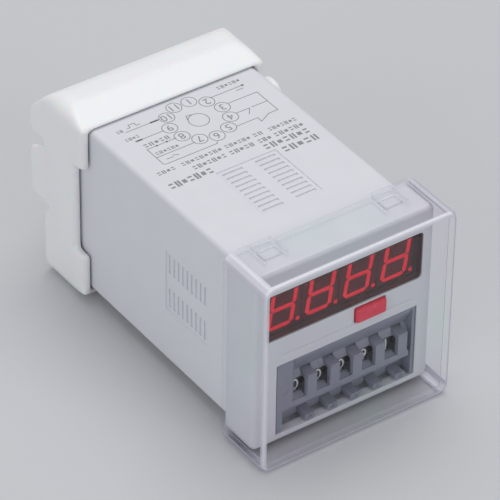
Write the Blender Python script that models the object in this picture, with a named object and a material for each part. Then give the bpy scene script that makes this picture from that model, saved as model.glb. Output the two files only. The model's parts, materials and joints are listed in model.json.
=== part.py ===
"""Plug-in panel counter, 48 mm square, with its clear dust cover and its panel bracket.

The counter is modelled in the frame of its panel: Y is 0 on the rear face of the bezel, which
seats on the panel, the display looks along -Y, and the plug is at the +Y end. A parent empty
then stands the whole part on its lower side, over the world's origin.
"""

import math

import bmesh
import bpy
from mathutils import Matrix, Vector

for leftover in list(bpy.data.objects):
    bpy.data.objects.remove(leftover)

MM = 0.001

# Fits
GAP = 0.3 * MM
PIN_PLAY = 0.15 * MM
THROUGH = 2 * MM

# Bezel
BEZEL_SIDE = 48 * MM
BEZEL_DEPTH = 9.9 * MM
BEZEL_FACE = 2.2 * MM
BEZEL_CORNER = 1.5 * MM
BEZEL_EDGE = 1.2 * MM
LATCH_WIDTH = 10 * MM
LATCH_THICKNESS = 1.2 * MM
LATCH_REACH = 6 * MM
GROOVE_Z = 0.1 * MM
GROOVE_LEFT = -16.8 * MM
GROOVE_RIGHT = 18.3 * MM
GROOVE_WIDTH = 0.3 * MM
GROOVE_DEPTH = 0.25 * MM

# Case
CASE_SIDE = 44.8 * MM
CASE_WALL = 1.6 * MM
CASE_REAR = 70 * MM
CASE_CORNER = 1.2 * MM
VENT_FIRST = 11 * MM
VENT_PITCH = 1.7 * MM
VENT_SLOT = 0.8 * MM
VENT_PANEL_DEPTH = 0.25 * MM
VENT_DEPTH = 0.45 * MM
VENT_MARGIN = 0.9 * MM
TOP_VENT_ROWS = 10
TOP_VENT_INNER = 1.7 * MM
TOP_VENT_LENGTH = 5.4 * MM
SIDE_VENT_ROWS = 9
SIDE_VENT_INNER = 2.1 * MM
SIDE_VENT_LENGTH = 5.2 * MM
SIDE_VENT_HEIGHT = 0.4 * MM

# Plug
BASE_PLATE = 3.2 * MM
PLUG_RADIUS = 14.5 * MM
PLUG_DEPTH = 3 * MM
POST_RADIUS = 4.2 * MM
POST_LENGTH = 11.5 * MM
KEY_WIDTH = 1.6 * MM
KEY_HEIGHT = 1.3 * MM
PIN_COUNT = 11
PIN_RADIUS = 1.2 * MM
PIN_CIRCLE = 9.9 * MM
PIN_LENGTH = 10.5 * MM
PIN_TAIL = 2 * MM

# Display
WINDOW_WIDTH = 41.4 * MM
WINDOW_HEIGHT = 12 * MM
WINDOW_CENTRE = 11.4 * MM
WINDOW_CORNER = 1 * MM
WINDOW_SET_BACK = 0.1 * MM
WINDOW_LIP = 0.8 * MM
WINDOW_LIP_THICKNESS = 0.8 * MM
DIGIT_COUNT = 4
DIGIT_PITCH = 10.1 * MM
DIGIT_BLOCK_HEIGHT = 12.4 * MM
DIGIT_BLOCK_DEPTH = 6.3 * MM
BOARD = 1.6 * MM
DISPLAY_BOARD_TOP = 19 * MM
DISPLAY_BOARD_BOTTOM = -1.5 * MM
DISPLAY_BOARD_PLAY = 0.6 * MM

# Reset button
RESET_X = 7 * MM
RESET_Z = 2.4 * MM
RESET_WIDTH = 8 * MM
RESET_HEIGHT = 3.7 * MM
RESET_PROUD = 1 * MM
RESET_CORNER = 0.5 * MM
RESET_LIP = 0.8 * MM
RESET_LIP_THICKNESS = 0.8 * MM
RESET_STEM_RADIUS = 1.3 * MM
RESET_STEM = 1.6 * MM
PLUNGER_RADIUS = 1.75 * MM
PLUNGER_LENGTH = 2.5 * MM
TACT_SIDE = 5 * MM
TACT_DEPTH = 3.4 * MM
TACT_BACK = 0.8 * MM

# Preset switch
UNIT_COUNT = 5
UNIT_PITCH = 6.17 * MM
FIRST_KEY_X = -8.35 * MM
FRAME_TOP = -2.7 * MM
FRAME_BOTTOM = -21.6 * MM
FRAME_LEFT_STRIP = 9.1 * MM
FRAME_RIGHT_STRIP = 3.45 * MM
FRAME_SET_BACK = 0.2 * MM
FRAME_RECESS = 3.2 * MM
FRAME_PLATE = 1 * MM
FRAME_RIM = 0.3 * MM
FRAME_BORDER = 0.7 * MM
HOLLOW_TURN = -8 * MM
HOLLOW_DEPTH = 2.4 * MM
HOLLOW_LEFT = 4.35 * MM
RIDGE_WIDTH = 0.85 * MM
RIDGE_DEPTH = 0.6 * MM
RAIL_TOP = -14.4 * MM
RAIL_HEIGHT = 1.6 * MM
RAIL_REACH = 7.5 * MM
RAIL_END = 0.6 * MM
KEY_BAR_WIDTH = 2.5 * MM
KEY_TRAVEL = 1.2 * MM
SIGHT_OFFSET = 3.1 * MM
SIGHT_WIDTH = 2.2 * MM
SIGHT_SET_BACK = 1.5 * MM
SIGHT_TOP = -9.7 * MM
SIGHT_HEIGHT = 4 * MM
SIGHT_BROW = 0.2 * MM
SILL_RIM = 0.3 * MM
UPPER_KEY_TOP = -8.5 * MM
UPPER_KEY_HEIGHT = 1.4 * MM
UPPER_KEY_PROUD = 0.5 * MM
UPPER_BAR_THICKNESS = 1.3 * MM
CAP_LIP = 0.5 * MM
CAP_STEP = 0.12 * MM
LOWER_KEY_TOP = -20 * MM
LOWER_KEY_HEIGHT = 1.5 * MM
DIMPLE_RADIUS = 0.5 * MM
DIMPLE_DEPTH = 0.3 * MM
KEY_FLANGE = 1.1 * MM
KEY_FLANGE_THICKNESS = 0.9 * MM
WHEEL_RADIUS = 4.6 * MM
WHEEL_WIDTH = 2.7 * MM
RATCHET_RADIUS = 1.9 * MM
RATCHET_ROOT = 1.5 * MM
RATCHET_WIDTH = 0.35 * MM
RATCHET_TEETH = 10
AXLE_RADIUS = 1 * MM
CARRIER_THICKNESS = 1 * MM
CARRIER_REAR = 11 * MM
CARRIER_TOP = -4.6 * MM
CARRIER_BOTTOM = -18.5 * MM
CARRIER_ARM = 1.8 * MM
CARRIER_NOSE = 1.8 * MM

# Boards and what they carry
SIDE_BOARD_X = 18.6 * MM
SIDE_BOARD_HEIGHT = 34 * MM
CORE_WIDTH = 20 * MM
CORE_HEIGHT = 17 * MM
CORE_DEPTH = 14 * MM
CORE_LEG = 5 * MM
CORE_YOKE = 2.5 * MM
CORE_ROOM = 9.5 * MM
COIL_WALL = 3.2 * MM
RELAY_WIDTH = 15.5 * MM
RELAY_LENGTH = 19 * MM
RELAY_HEIGHT = 15.5 * MM
RELAY_ROOM = 14.5 * MM
CAPACITOR_RADIUS = 5 * MM
CAPACITOR_LENGTH = 12 * MM
CAPACITOR_ROOM = 7.5 * MM
CHIP_LENGTH = 18 * MM
CHIP_WIDTH = 6.4 * MM
CHIP_THICKNESS = 3 * MM
CHIP_ROOM = 7.5 * MM
CHIP_LEGS = 7
LEG_WIDTH = 1 * MM
LEG_PITCH = 2.54 * MM

# Cover
COVER_PLAY = 0.35 * MM
COVER_WALL = 1.1 * MM
COVER_FRONT = 1.4 * MM
COVER_FRONT_Y = -16 * MM
COVER_REAR_Y = -0.4 * MM
COVER_CORNER = 2.2 * MM
COVER_EDGE = 1 * MM
HOOK_X = 16 * MM
HOOK_WIDTH = 4.6 * MM
HOOK_NUB = 0.2 * MM
HOOK_NUB_LENGTH = 3 * MM
HOOK_NUB_Y = -4 * MM
HOOK_NOTCH = 1 * MM
SLIT_WIDTH = 0.5 * MM
SLIT_LENGTH = 6 * MM

# Bracket
SLEEVE_SIDE_WALL = 2.3 * MM
SLEEVE_TOP_WALL = 2.9 * MM
SLEEVE_CORNER = 3.6 * MM
SLEEVE_FRONT = 55.3 * MM
SLEEVE_SIDE_FRONT = 59.1 * MM
SLEEVE_LIP = 0.5 * MM
SLEEVE_CROWN = 8 * MM
SHOULDER_Y = 69.5 * MM
SHOULDER_ROUND = 5 * MM
EAR_REAR = 77.6 * MM
EAR_TOP = 17.8 * MM
EAR_BOTTOM = 11.5 * MM
EAR_ROUND = 4 * MM
WING_THICKNESS = 1.6 * MM
SLOT_END = 71.7 * MM
TAB_TOP = 6.9 * MM
TAB_ROOT = 9.3 * MM
TAB_BOTTOM = -6 * MM
TAB_ROUND = 1.4 * MM
TAB_NOTCH = 2.7 * MM
LOWER_REAR = 72.2 * MM
LOWER_ROUND = 2.5 * MM
SIDE_ROUND = 2.2 * MM
CORNER_HEIGHT = 12.1 * MM
FOOT_FRONT = 47.9 * MM
FOOT_TOP = 20.9 * MM
FOOT_BOTTOM = 12.4 * MM
FOOT_ROUND = 3 * MM
FOOT_NECK = 2 * MM

FRONT = -BEZEL_DEPTH
BEZEL_HALF = BEZEL_SIDE / 2
CASE_HALF = CASE_SIDE / 2
CASE_INNER = CASE_HALF - CASE_WALL
COVER_INNER = BEZEL_HALF + COVER_PLAY
COVER_HALF = COVER_INNER + COVER_WALL
SLEEVE_INNER = CASE_HALF + GAP
SLEEVE_HALF_WIDTH = SLEEVE_INNER + SLEEVE_SIDE_WALL
SLEEVE_HALF_HEIGHT = SLEEVE_INNER + SLEEVE_TOP_WALL
PLUG_END = CASE_REAR + PLUG_DEPTH + POST_LENGTH
COIL_HALF = CORE_DEPTH / 2 + GAP + COIL_WALL
CORE_Y = CASE_REAR - CORE_ROOM - COIL_HALF
CAPACITOR_Y = CORE_Y - COIL_HALF - CAPACITOR_ROOM - CAPACITOR_RADIUS
RELAY_Y = CASE_REAR - RELAY_ROOM - RELAY_LENGTH / 2
CHIP_Y = RELAY_Y - RELAY_LENGTH / 2 - CHIP_ROOM - CHIP_LENGTH / 2
LOWEST = -max(SLEEVE_HALF_HEIGHT, COVER_HALF)


def key_x(unit):
    return FIRST_KEY_X + UNIT_PITCH * unit


FRAME_LOW = key_x(0) - FRAME_LEFT_STRIP
FRAME_HIGH = key_x(UNIT_COUNT - 1) + FRAME_RIGHT_STRIP


# The shared frame
def empty(name, at, parent=None):
    thing = bpy.data.objects.new(name, None)
    thing.location = at
    thing.parent = parent
    bpy.context.scene.collection.objects.link(thing)
    return thing


STAND = empty("stand", (0, -(COVER_FRONT_Y + PLUG_END) / 2, -LOWEST))


def finish_of(name, colour, roughness, metallic=0.0, alpha=1.0):
    made = bpy.data.materials.new(name)
    made.use_nodes = True
    shader = made.node_tree.nodes["Principled BSDF"]
    shader.inputs["Base Color"].default_value = (*colour, 1)
    shader.inputs["Roughness"].default_value = roughness
    shader.inputs["Metallic"].default_value = metallic
    shader.inputs["Alpha"].default_value = alpha
    made.diffuse_color = (*colour, alpha)
    return made


CASE_GREY = finish_of("case_grey", (0.70, 0.72, 0.78), 0.45)
NYLON_WHITE = finish_of("nylon_white", (0.85, 0.86, 0.88), 0.5)
BEZEL_GREY = finish_of("bezel_grey", (0.62, 0.63, 0.66), 0.4)
CLEAR = finish_of("clear_plastic", (0.9, 0.9, 0.95), 0.05, alpha=0.2)
FILTER_RED = finish_of("red_filter", (0.10, 0.01, 0.015), 0.08, alpha=0.7)
LAMP_BLACK = finish_of("display_block", (0.05, 0.05, 0.055), 0.4)
BUTTON_RED = finish_of("button_red", (0.60, 0.03, 0.06), 0.35)
SWITCH_GREY = finish_of("switch_grey", (0.17, 0.19, 0.23), 0.4)
WHEEL_BLACK = finish_of("wheel_black", (0.03, 0.03, 0.035), 0.4)
BOARD_GREEN = finish_of("board_green", (0.03, 0.20, 0.09), 0.5)
PIN_BRASS = finish_of("pin_brass", (0.72, 0.70, 0.66), 0.3, 1.0)
CORE_STEEL = finish_of("core_steel", (0.35, 0.35, 0.37), 0.45, 1.0)
COIL_TAPE = finish_of("coil_tape", (0.65, 0.45, 0.08), 0.5)
RELAY_BLUE = finish_of("relay_blue", (0.05, 0.15, 0.35), 0.4)
CAN_BLACK = finish_of("capacitor_sleeve", (0.02, 0.03, 0.08), 0.35)


# Outlines and prisms
def rounded(corners, radii, steps=3):
    """The outline through these corners with each one turned into an arc of its radius."""
    if not hasattr(radii, "__len__"):
        radii = [radii] * len(corners)
    outline = []
    for index, radius in enumerate(radii):
        corner = Vector(corners[index])
        if radius <= 0:
            outline.append(corner)
            continue
        back = (Vector(corners[index - 1]) - corner).normalized()
        ahead = (Vector(corners[(index + 1) % len(corners)]) - corner).normalized()
        half = back.angle(ahead) / 2
        centre = corner + (back + ahead).normalized() * (radius / math.sin(half))
        start = corner + back * (radius / math.tan(half)) - centre
        end = corner + ahead * (radius / math.tan(half)) - centre
        turn = start.angle_signed(end)
        for step in range(steps + 1):
            swung = start.copy()
            swung.rotate(Matrix.Rotation(-turn * step / steps, 2))
            outline.append(centre + swung)
    return outline


def rectangle(low, high):
    return [(low[0], low[1]), (high[0], low[1]), (high[0], high[1]), (low[0], high[1])]


def centred(half_width, half_height):
    return rectangle((-half_width, -half_height), (half_width, half_height))


def circle(radius, steps, centre=(0, 0), first=0.0):
    turns = (first + 2 * math.pi * step / steps for step in range(steps))
    return [(centre[0] + radius * math.cos(t), centre[1] + radius * math.sin(t)) for t in turns]


PLACES = {
    "X": lambda u, v, along: (along, u, v),
    "Y": lambda u, v, along: (u, along, v),
    "Z": lambda u, v, along: (u, v, along),
}


def prism(outline, axis, low, high, into=None):
    """A closed prism of the outline along an axis, in a bmesh that may hold others."""
    made = into or bmesh.new()
    ring = [made.verts.new(PLACES[axis](u, v, low)) for u, v in outline]
    floor = made.faces.new(ring)
    raised = bmesh.ops.extrude_face_region(made, geom=[floor])["geom"]
    moved = [item for item in raised if isinstance(item, bmesh.types.BMVert)]
    bmesh.ops.translate(made, verts=moved, vec=PLACES[axis](0, 0, high - low))
    bmesh.ops.recalc_face_normals(made, faces=made.faces)
    return made


def box(low, high, into=None):
    return prism(rectangle(low[:2], high[:2]), "Z", low[2], high[2], into)


def soften(made, width, segments, chosen):
    """Bevels the edges whose two ends both pass the test."""
    edges = [edge for edge in made.edges if all(chosen(vert.co) for vert in edge.verts)]
    bmesh.ops.bevel(made, geom=edges, offset=width, segments=segments, profile=0.5, affect="EDGES")
    bmesh.ops.recalc_face_normals(made, faces=made.faces)


def place(name, made, finish, parent=None, at=(0, 0, 0)):
    """Makes a bmesh that is written in the panel's frame into an object with its origin at a point."""
    bmesh.ops.translate(made, verts=made.verts, vec=-Vector(at))
    mesh = bpy.data.meshes.new(name)
    made.to_mesh(mesh)
    made.free()
    mesh.materials.append(finish)
    mesh.shade_smooth()
    mesh.set_sharp_from_angle(angle=math.radians(35))
    thing = bpy.data.objects.new(name, mesh)
    thing.location = at
    thing.parent = parent or STAND
    bpy.context.scene.collection.objects.link(thing)
    return thing


def helper(name, made):
    mesh = bpy.data.meshes.new(name)
    made.to_mesh(mesh)
    made.free()
    thing = bpy.data.objects.new(name, mesh)
    thing.parent = STAND
    thing.hide_render = True
    thing.display_type = "WIRE"
    bpy.context.scene.collection.objects.link(thing)
    return thing


def combine(thing, operation, made):
    """Cuts, joins or intersects an object with a hidden helper made from a bmesh."""
    step = thing.modifiers.new(operation.lower(), "BOOLEAN")
    step.operation = operation
    step.solver = "EXACT"
    step.object = helper(f"{thing.name}_{operation.lower()}_{len(thing.modifiers)}", made)


def cut(thing, made):
    combine(thing, "DIFFERENCE", made)


def join(thing, made):
    combine(thing, "UNION", made)


# Case: a square moulded tube with shallow panels of louvre grooves on all four sides
def vent_block(rows, inner, length, face_height, lift):
    """Cutters for one side, lying on the plane Z = face_height: the panel and its two ranks of grooves."""
    last = VENT_FIRST + VENT_PITCH * (rows - 1)
    reach = inner + length
    reach_out = reach + VENT_MARGIN
    border = VENT_MARGIN + VENT_SLOT / 2
    panel = box(
        (lift - reach_out, VENT_FIRST - border, face_height - VENT_PANEL_DEPTH),
        (lift + reach_out, last + border, face_height + THROUGH),
    )
    grooves = bmesh.new()
    for side in (-1, 1):
        ends = sorted((lift + side * inner, lift + side * reach))
        for row in range(rows):
            middle = VENT_FIRST + VENT_PITCH * row
            low = (ends[0], middle - VENT_SLOT / 2, face_height - VENT_DEPTH)
            high = (ends[1], middle + VENT_SLOT / 2, face_height + THROUGH)
            box(low, high, grooves)
    return panel, grooves


def turned(made, quarter):
    turn = Matrix.Rotation(quarter * math.pi / 2, 3, "Y")
    bmesh.ops.rotate(made, verts=made.verts, cent=(0, 0, 0), matrix=turn)
    return made


def build_case():
    tube = prism(rounded(centred(CASE_HALF, CASE_HALF), CASE_CORNER), "Y", GAP - LATCH_THICKNESS, CASE_REAR)
    case = place("case", tube, CASE_GREY)
    cut(case, prism(centred(CASE_INNER, CASE_INNER), "Y", -THROUGH - LATCH_THICKNESS, CASE_REAR + THROUGH))
    for quarter in range(4):
        if quarter % 2:
            lift = SIDE_VENT_HEIGHT * (-1 if quarter == 1 else 1)
            blocks = vent_block(SIDE_VENT_ROWS, SIDE_VENT_INNER, SIDE_VENT_LENGTH, CASE_HALF, lift)
        else:
            blocks = vent_block(TOP_VENT_ROWS, TOP_VENT_INNER, TOP_VENT_LENGTH, CASE_HALF, 0)
        for block in blocks:
            cut(case, turned(block, quarter))


# Plug: a square end plate with a round keyed plug, and its round pins
def pin_places():
    for index in range(PIN_COUNT):
        turn = math.pi / 2 - 2 * math.pi * (index + 0.5) / PIN_COUNT
        yield PIN_CIRCLE * math.cos(turn), PIN_CIRCLE * math.sin(turn)


def build_plug():
    plate_half = CASE_INNER - GAP
    plate_front = CASE_REAR - GAP - BASE_PLATE
    plate = prism(rounded(centred(plate_half, plate_half), 1 * MM), "Y", plate_front, CASE_REAR)
    base = place("plug_base", plate, NYLON_WHITE)
    join(base, prism(circle(PLUG_RADIUS, 40), "Y", CASE_REAR - GAP, CASE_REAR + PLUG_DEPTH))
    post_root = CASE_REAR + PLUG_DEPTH - GAP
    join(base, prism(circle(POST_RADIUS, 24), "Y", post_root, PLUG_END))
    key_low = (-KEY_WIDTH / 2, post_root, -POST_RADIUS - KEY_HEIGHT)
    join(base, box(key_low, (KEY_WIDTH / 2, PLUG_END - PIN_PLAY, 0)))
    holes = bmesh.new()
    for x, z in pin_places():
        prism(circle(PIN_RADIUS + PIN_PLAY, 12, (x, z)), "Y", plate_front - THROUGH, PLUG_END, holes)
    cut(base, holes)
    for number, (x, z) in enumerate(pin_places(), 1):
        tip = CASE_REAR + PLUG_DEPTH + PIN_LENGTH
        pin = prism(circle(PIN_RADIUS, 12, (x, z)), "Y", plate_front - PIN_TAIL, tip)
        soften(pin, PIN_RADIUS * 0.4, 1, lambda co: co.y > CASE_REAR + PLUG_DEPTH)
        place(f"pin_{number:02d}", pin, PIN_BRASS, at=(x, plate_front, z))


# Bezel: the moulded front, its openings and the latches that hold it in the case
def switch_opening(margin):
    return rectangle((FRAME_LOW - margin, FRAME_BOTTOM - margin), (FRAME_HIGH + margin, FRAME_TOP + margin))


def window_outline(margin):
    low = (-WINDOW_WIDTH / 2 - margin, WINDOW_CENTRE - WINDOW_HEIGHT / 2 - margin)
    high = (WINDOW_WIDTH / 2 + margin, WINDOW_CENTRE + WINDOW_HEIGHT / 2 + margin)
    return rounded(rectangle(low, high), WINDOW_CORNER)


def reset_outline(margin):
    low = (RESET_X - RESET_WIDTH / 2 - margin, RESET_Z - RESET_HEIGHT / 2 - margin)
    high = (RESET_X + RESET_WIDTH / 2 + margin, RESET_Z + RESET_HEIGHT / 2 + margin)
    return rounded(rectangle(low, high), RESET_CORNER)


def build_bezel():
    shell = prism(rounded(centred(BEZEL_HALF, BEZEL_HALF), BEZEL_CORNER), "Y", FRONT, 0)
    soften(shell, BEZEL_EDGE, 3, lambda co: co.y < FRONT + GAP)
    bezel = place("bezel", shell, BEZEL_GREY)
    hollow = CASE_HALF + GAP
    cut(bezel, prism(centred(hollow, hollow), "Y", FRONT + BEZEL_FACE, THROUGH))
    for outline in (window_outline(GAP), reset_outline(GAP), switch_opening(GAP)):
        cut(bezel, prism(outline, "Y", FRONT - THROUGH, FRONT + BEZEL_FACE + THROUGH))
    half = GROOVE_WIDTH / 2
    groove = [
        (FRONT - half, GROOVE_Z - 2 * half),
        (FRONT + GROOVE_DEPTH, GROOVE_Z),
        (FRONT - half, GROOVE_Z + 2 * half),
    ]
    cut(bezel, prism(groove, "X", GROOVE_LEFT, GROOVE_RIGHT))
    tab_out = CASE_INNER - GAP
    tab_in = tab_out - LATCH_THICKNESS
    root = (hollow + BEZEL_HALF) / 2
    tab = [
        (-2 * LATCH_THICKNESS - GAP, root),
        (-2 * LATCH_THICKNESS - GAP, tab_in),
        (LATCH_REACH, tab_in),
        (LATCH_REACH, tab_out),
        (-LATCH_THICKNESS, tab_out),
        (-LATCH_THICKNESS, root),
    ]
    for side in (-1, 1):
        outline = [(y, side * z) for y, z in tab]
        join(bezel, prism(outline, "X", -LATCH_WIDTH / 2, LATCH_WIDTH / 2))


# Display: the red filter, four digit blocks and the board behind them
def build_display():
    seat = FRONT + BEZEL_FACE + GAP
    pane = prism(window_outline(0), "Y", FRONT + WINDOW_SET_BACK, seat + WINDOW_LIP_THICKNESS)
    window = place("window", pane, FILTER_RED)
    side_lip = WINDOW_WIDTH / 2 + WINDOW_LIP
    lip_low = (-side_lip, seat, WINDOW_CENTRE - WINDOW_HEIGHT / 2 + WINDOW_CORNER)
    lip_high = (side_lip, seat + WINDOW_LIP_THICKNESS, WINDOW_CENTRE + WINDOW_HEIGHT / 2 + WINDOW_LIP)
    join(window, box(lip_low, lip_high))
    block_front = seat + WINDOW_LIP_THICKNESS + GAP
    block_back = block_front + DIGIT_BLOCK_DEPTH
    for number in range(DIGIT_COUNT):
        x = DIGIT_PITCH * (number - (DIGIT_COUNT - 1) / 2)
        half = (DIGIT_PITCH - GAP) / 2
        low = (x - half, block_front, WINDOW_CENTRE - DIGIT_BLOCK_HEIGHT / 2)
        high = (x + half, block_back, WINDOW_CENTRE + DIGIT_BLOCK_HEIGHT / 2)
        block = box(low, high)
        soften(block, GAP, 1, lambda co: co.y < block_front + GAP)
        place(f"digit_block_{number + 1}", block, LAMP_BLACK, at=(x, block_front, WINDOW_CENTRE))
    board_front = block_back + GAP
    board_half = CASE_INNER - DISPLAY_BOARD_PLAY
    board = box(
        (-board_half, board_front, DISPLAY_BOARD_BOTTOM),
        (board_half, board_front + BOARD, DISPLAY_BOARD_TOP),
    )
    place("display_board", board, BOARD_GREEN)
    return board_front


# Reset: the button, the plunger that it pushes and the small switch on the board
def build_reset(board_front):
    lip_front = FRONT + BEZEL_FACE + GAP
    lip_back = lip_front + RESET_LIP_THICKNESS
    travel_axis = (RESET_X, FRONT - RESET_PROUD, RESET_Z)
    cap = prism(reset_outline(0), "Y", FRONT - RESET_PROUD, lip_back)
    soften(cap, RESET_CORNER * 0.7, 2, lambda co: co.y < FRONT)
    button = place("reset_button", cap, BUTTON_RED, at=travel_axis)
    half = RESET_WIDTH / 2 + RESET_LIP
    lip_low = (RESET_X - half, lip_front, RESET_Z - RESET_HEIGHT / 2 - RESET_CORNER)
    join(button, box(lip_low, (RESET_X + half, lip_back, RESET_Z + RESET_HEIGHT / 2 - RESET_CORNER)))
    stem_end = lip_back + RESET_STEM
    join(button, prism(circle(RESET_STEM_RADIUS, 12, (RESET_X, RESET_Z)), "Y", lip_back - GAP, stem_end))
    plunger_front = stem_end + GAP
    round_end = circle(PLUNGER_RADIUS, 16, (RESET_X, RESET_Z))
    plunger = prism(round_end, "Y", plunger_front, plunger_front + PLUNGER_LENGTH)
    place("reset_plunger", plunger, SWITCH_GREY, at=(RESET_X, plunger_front, RESET_Z))
    tact_back = board_front - GAP
    tact_front = tact_back - TACT_DEPTH
    half = TACT_SIDE / 2
    body = box((RESET_X - half, tact_front, RESET_Z - half), (RESET_X + half, tact_back, RESET_Z + half))
    tact = place("reset_switch", body, LAMP_BLACK)
    bore = circle(PLUNGER_RADIUS + PIN_PLAY, 16, (RESET_X, RESET_Z))
    cut(tact, prism(bore, "Y", tact_front - THROUGH, tact_back - TACT_BACK))


# Preset switch: the front frame, then five units of wheel, carrier and two keys
FRAME_FACE = FRONT + FRAME_SET_BACK
PLATE_FACE = FRAME_FACE + FRAME_RECESS
PLATE_BACK = PLATE_FACE + FRAME_PLATE
FLANGE_FACE = PLATE_BACK + GAP
FLANGE_BACK = FLANGE_FACE + KEY_FLANGE_THICKNESS
SIGHT_FACE = FRAME_FACE + SIGHT_SET_BACK
SIGHT_BOTTOM = SIGHT_TOP - SIGHT_HEIGHT
WHEEL_Y = SIGHT_FACE + GAP + WHEEL_RADIUS
WHEEL_Z = (SIGHT_TOP + SIGHT_BOTTOM) / 2


def sight_x(unit):
    return key_x(unit) - SIGHT_OFFSET


def build_switch_frame():
    body = box((FRAME_LOW, FRAME_FACE, FRAME_BOTTOM), (FRAME_HIGH, PLATE_BACK, FRAME_TOP))
    frame = place("switch_frame", body, SWITCH_GREY)
    left = key_x(0) - HOLLOW_LEFT
    right = FRAME_HIGH - FRAME_BORDER
    front = FRAME_FACE - THROUGH
    ceiling = FRAME_TOP - FRAME_RIM
    hollow = [
        (front, ceiling),
        (FRAME_FACE, ceiling),
        (FRAME_FACE + HOLLOW_DEPTH, HOLLOW_TURN),
        (SIGHT_FACE, SIGHT_TOP + SIGHT_BROW),
        (SIGHT_FACE, SIGHT_BOTTOM),
        (FRAME_FACE + SILL_RIM, RAIL_TOP),
        (front, RAIL_TOP),
    ]
    cut(frame, prism(hollow, "X", left, right))
    ridge = [
        (left - RIDGE_WIDTH, front),
        (left - RIDGE_WIDTH, FRAME_FACE),
        (left - RIDGE_WIDTH * 0.4, FRAME_FACE + RIDGE_DEPTH * 0.25),
        (left + GAP, FRAME_FACE + RIDGE_DEPTH),
        (left + GAP, front),
    ]
    cut(frame, prism(ridge, "Z", RAIL_TOP, ceiling))
    low = (key_x(0) - RAIL_REACH, front, FRAME_BOTTOM - THROUGH)
    cut(frame, box(low, (right, PLATE_FACE, RAIL_TOP - RAIL_HEIGHT)))
    low = (right - RAIL_END, front, RAIL_TOP - RAIL_HEIGHT - GAP)
    cut(frame, box(low, (right, PLATE_FACE, RAIL_TOP + GAP)))
    drums = bmesh.new()
    slots = bmesh.new()
    sights = bmesh.new()
    back = PLATE_BACK + THROUGH
    for unit in range(UNIT_COUNT):
        half = WHEEL_WIDTH / 2 + PIN_PLAY
        room = circle(WHEEL_RADIUS + GAP, 40, (WHEEL_Y, WHEEL_Z))
        prism(room, "X", sight_x(unit) - half, sight_x(unit) + half, drums)
        x = key_x(unit)
        reach = KEY_BAR_WIDTH / 2 + PIN_PLAY
        low = (x - reach, SIGHT_FACE - THROUGH, RAIL_TOP + PIN_PLAY)
        box(low, (x + reach, back, HOLLOW_TURN), slots)
        low = (x - reach, PLATE_FACE - GAP, FRAME_BOTTOM - THROUGH)
        box(low, (x + reach, back, LOWER_KEY_TOP + PIN_PLAY), slots)
        low = (sight_x(unit) - SIGHT_WIDTH / 2, front, SIGHT_BOTTOM)
        box(low, (x, back, SIGHT_TOP), sights)
    cut(frame, drums)
    cut(frame, slots)
    cut(frame, sights)


def key_outline(front, top, height, bar_bottom=None):
    """A key seen from its side: its face, the flange that keeps it in, and a bar if it has one."""
    bottom = top - height
    outline = [
        (front, top),
        (FLANGE_FACE, top),
        (FLANGE_FACE, top + KEY_FLANGE),
        (FLANGE_BACK, top + KEY_FLANGE),
        (FLANGE_BACK, bottom),
    ]
    if bar_bottom is None:
        return outline + [(front, bottom)]
    bar_back = front + UPPER_BAR_THICKNESS
    return outline + [
        (bar_back, bottom),
        (bar_back, bar_bottom),
        (front + CAP_STEP, bar_bottom),
        (front + CAP_STEP, top - CAP_LIP),
        (front, top - CAP_LIP),
    ]


def build_keys(unit):
    x = key_x(unit)
    half = KEY_BAR_WIDTH / 2
    bar_bottom = RAIL_TOP + GAP
    for kind, front, top, height, bar in (
        ("upper", FRONT - UPPER_KEY_PROUD, UPPER_KEY_TOP, UPPER_KEY_HEIGHT, bar_bottom),
        ("lower", FRONT, LOWER_KEY_TOP, LOWER_KEY_HEIGHT, None),
    ):
        key = prism(key_outline(front, top, height, bar), "X", x - half, x + half)
        soften(key, PIN_PLAY / 2, 1, lambda co: co.y < front + PIN_PLAY / 2)
        made = place(f"{kind}_key_{unit + 1}", key, SWITCH_GREY, at=(x, front, top))
        if bar is None:
            dimple = circle(DIMPLE_RADIUS, 12, (x, top - height / 2))
            cut(made, prism(dimple, "Y", FRONT - THROUGH, FRONT + DIMPLE_DEPTH))


def build_wheel(unit):
    """A number drum with a ten-tooth ratchet beside it, turning on the carrier's axle."""
    x = sight_x(unit)
    axis = (x, WHEEL_Y, WHEEL_Z)
    centre = (WHEEL_Y, WHEEL_Z)
    right = x + WHEEL_WIDTH / 2
    drum = prism(circle(WHEEL_RADIUS, 40, centre), "X", right - WHEEL_WIDTH, right)
    wheel = place(f"number_wheel_{unit + 1}", drum, WHEEL_BLACK, at=axis)
    teeth = []
    for tooth in range(RATCHET_TEETH):
        turn = 2 * math.pi * tooth / RATCHET_TEETH
        for radius, ahead in ((RATCHET_ROOT, 0), (RATCHET_RADIUS, 0), (RATCHET_ROOT, 0.85)):
            angle = turn + ahead * 2 * math.pi / RATCHET_TEETH
            teeth.append((WHEEL_Y + radius * math.cos(angle), WHEEL_Z + radius * math.sin(angle)))
    join(wheel, prism(teeth, "X", right - PIN_PLAY, right + RATCHET_WIDTH))
    bore = circle(AXLE_RADIUS + PIN_PLAY, 12, centre)
    cut(wheel, prism(bore, "X", right - WHEEL_WIDTH - THROUGH, right + THROUGH))


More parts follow.
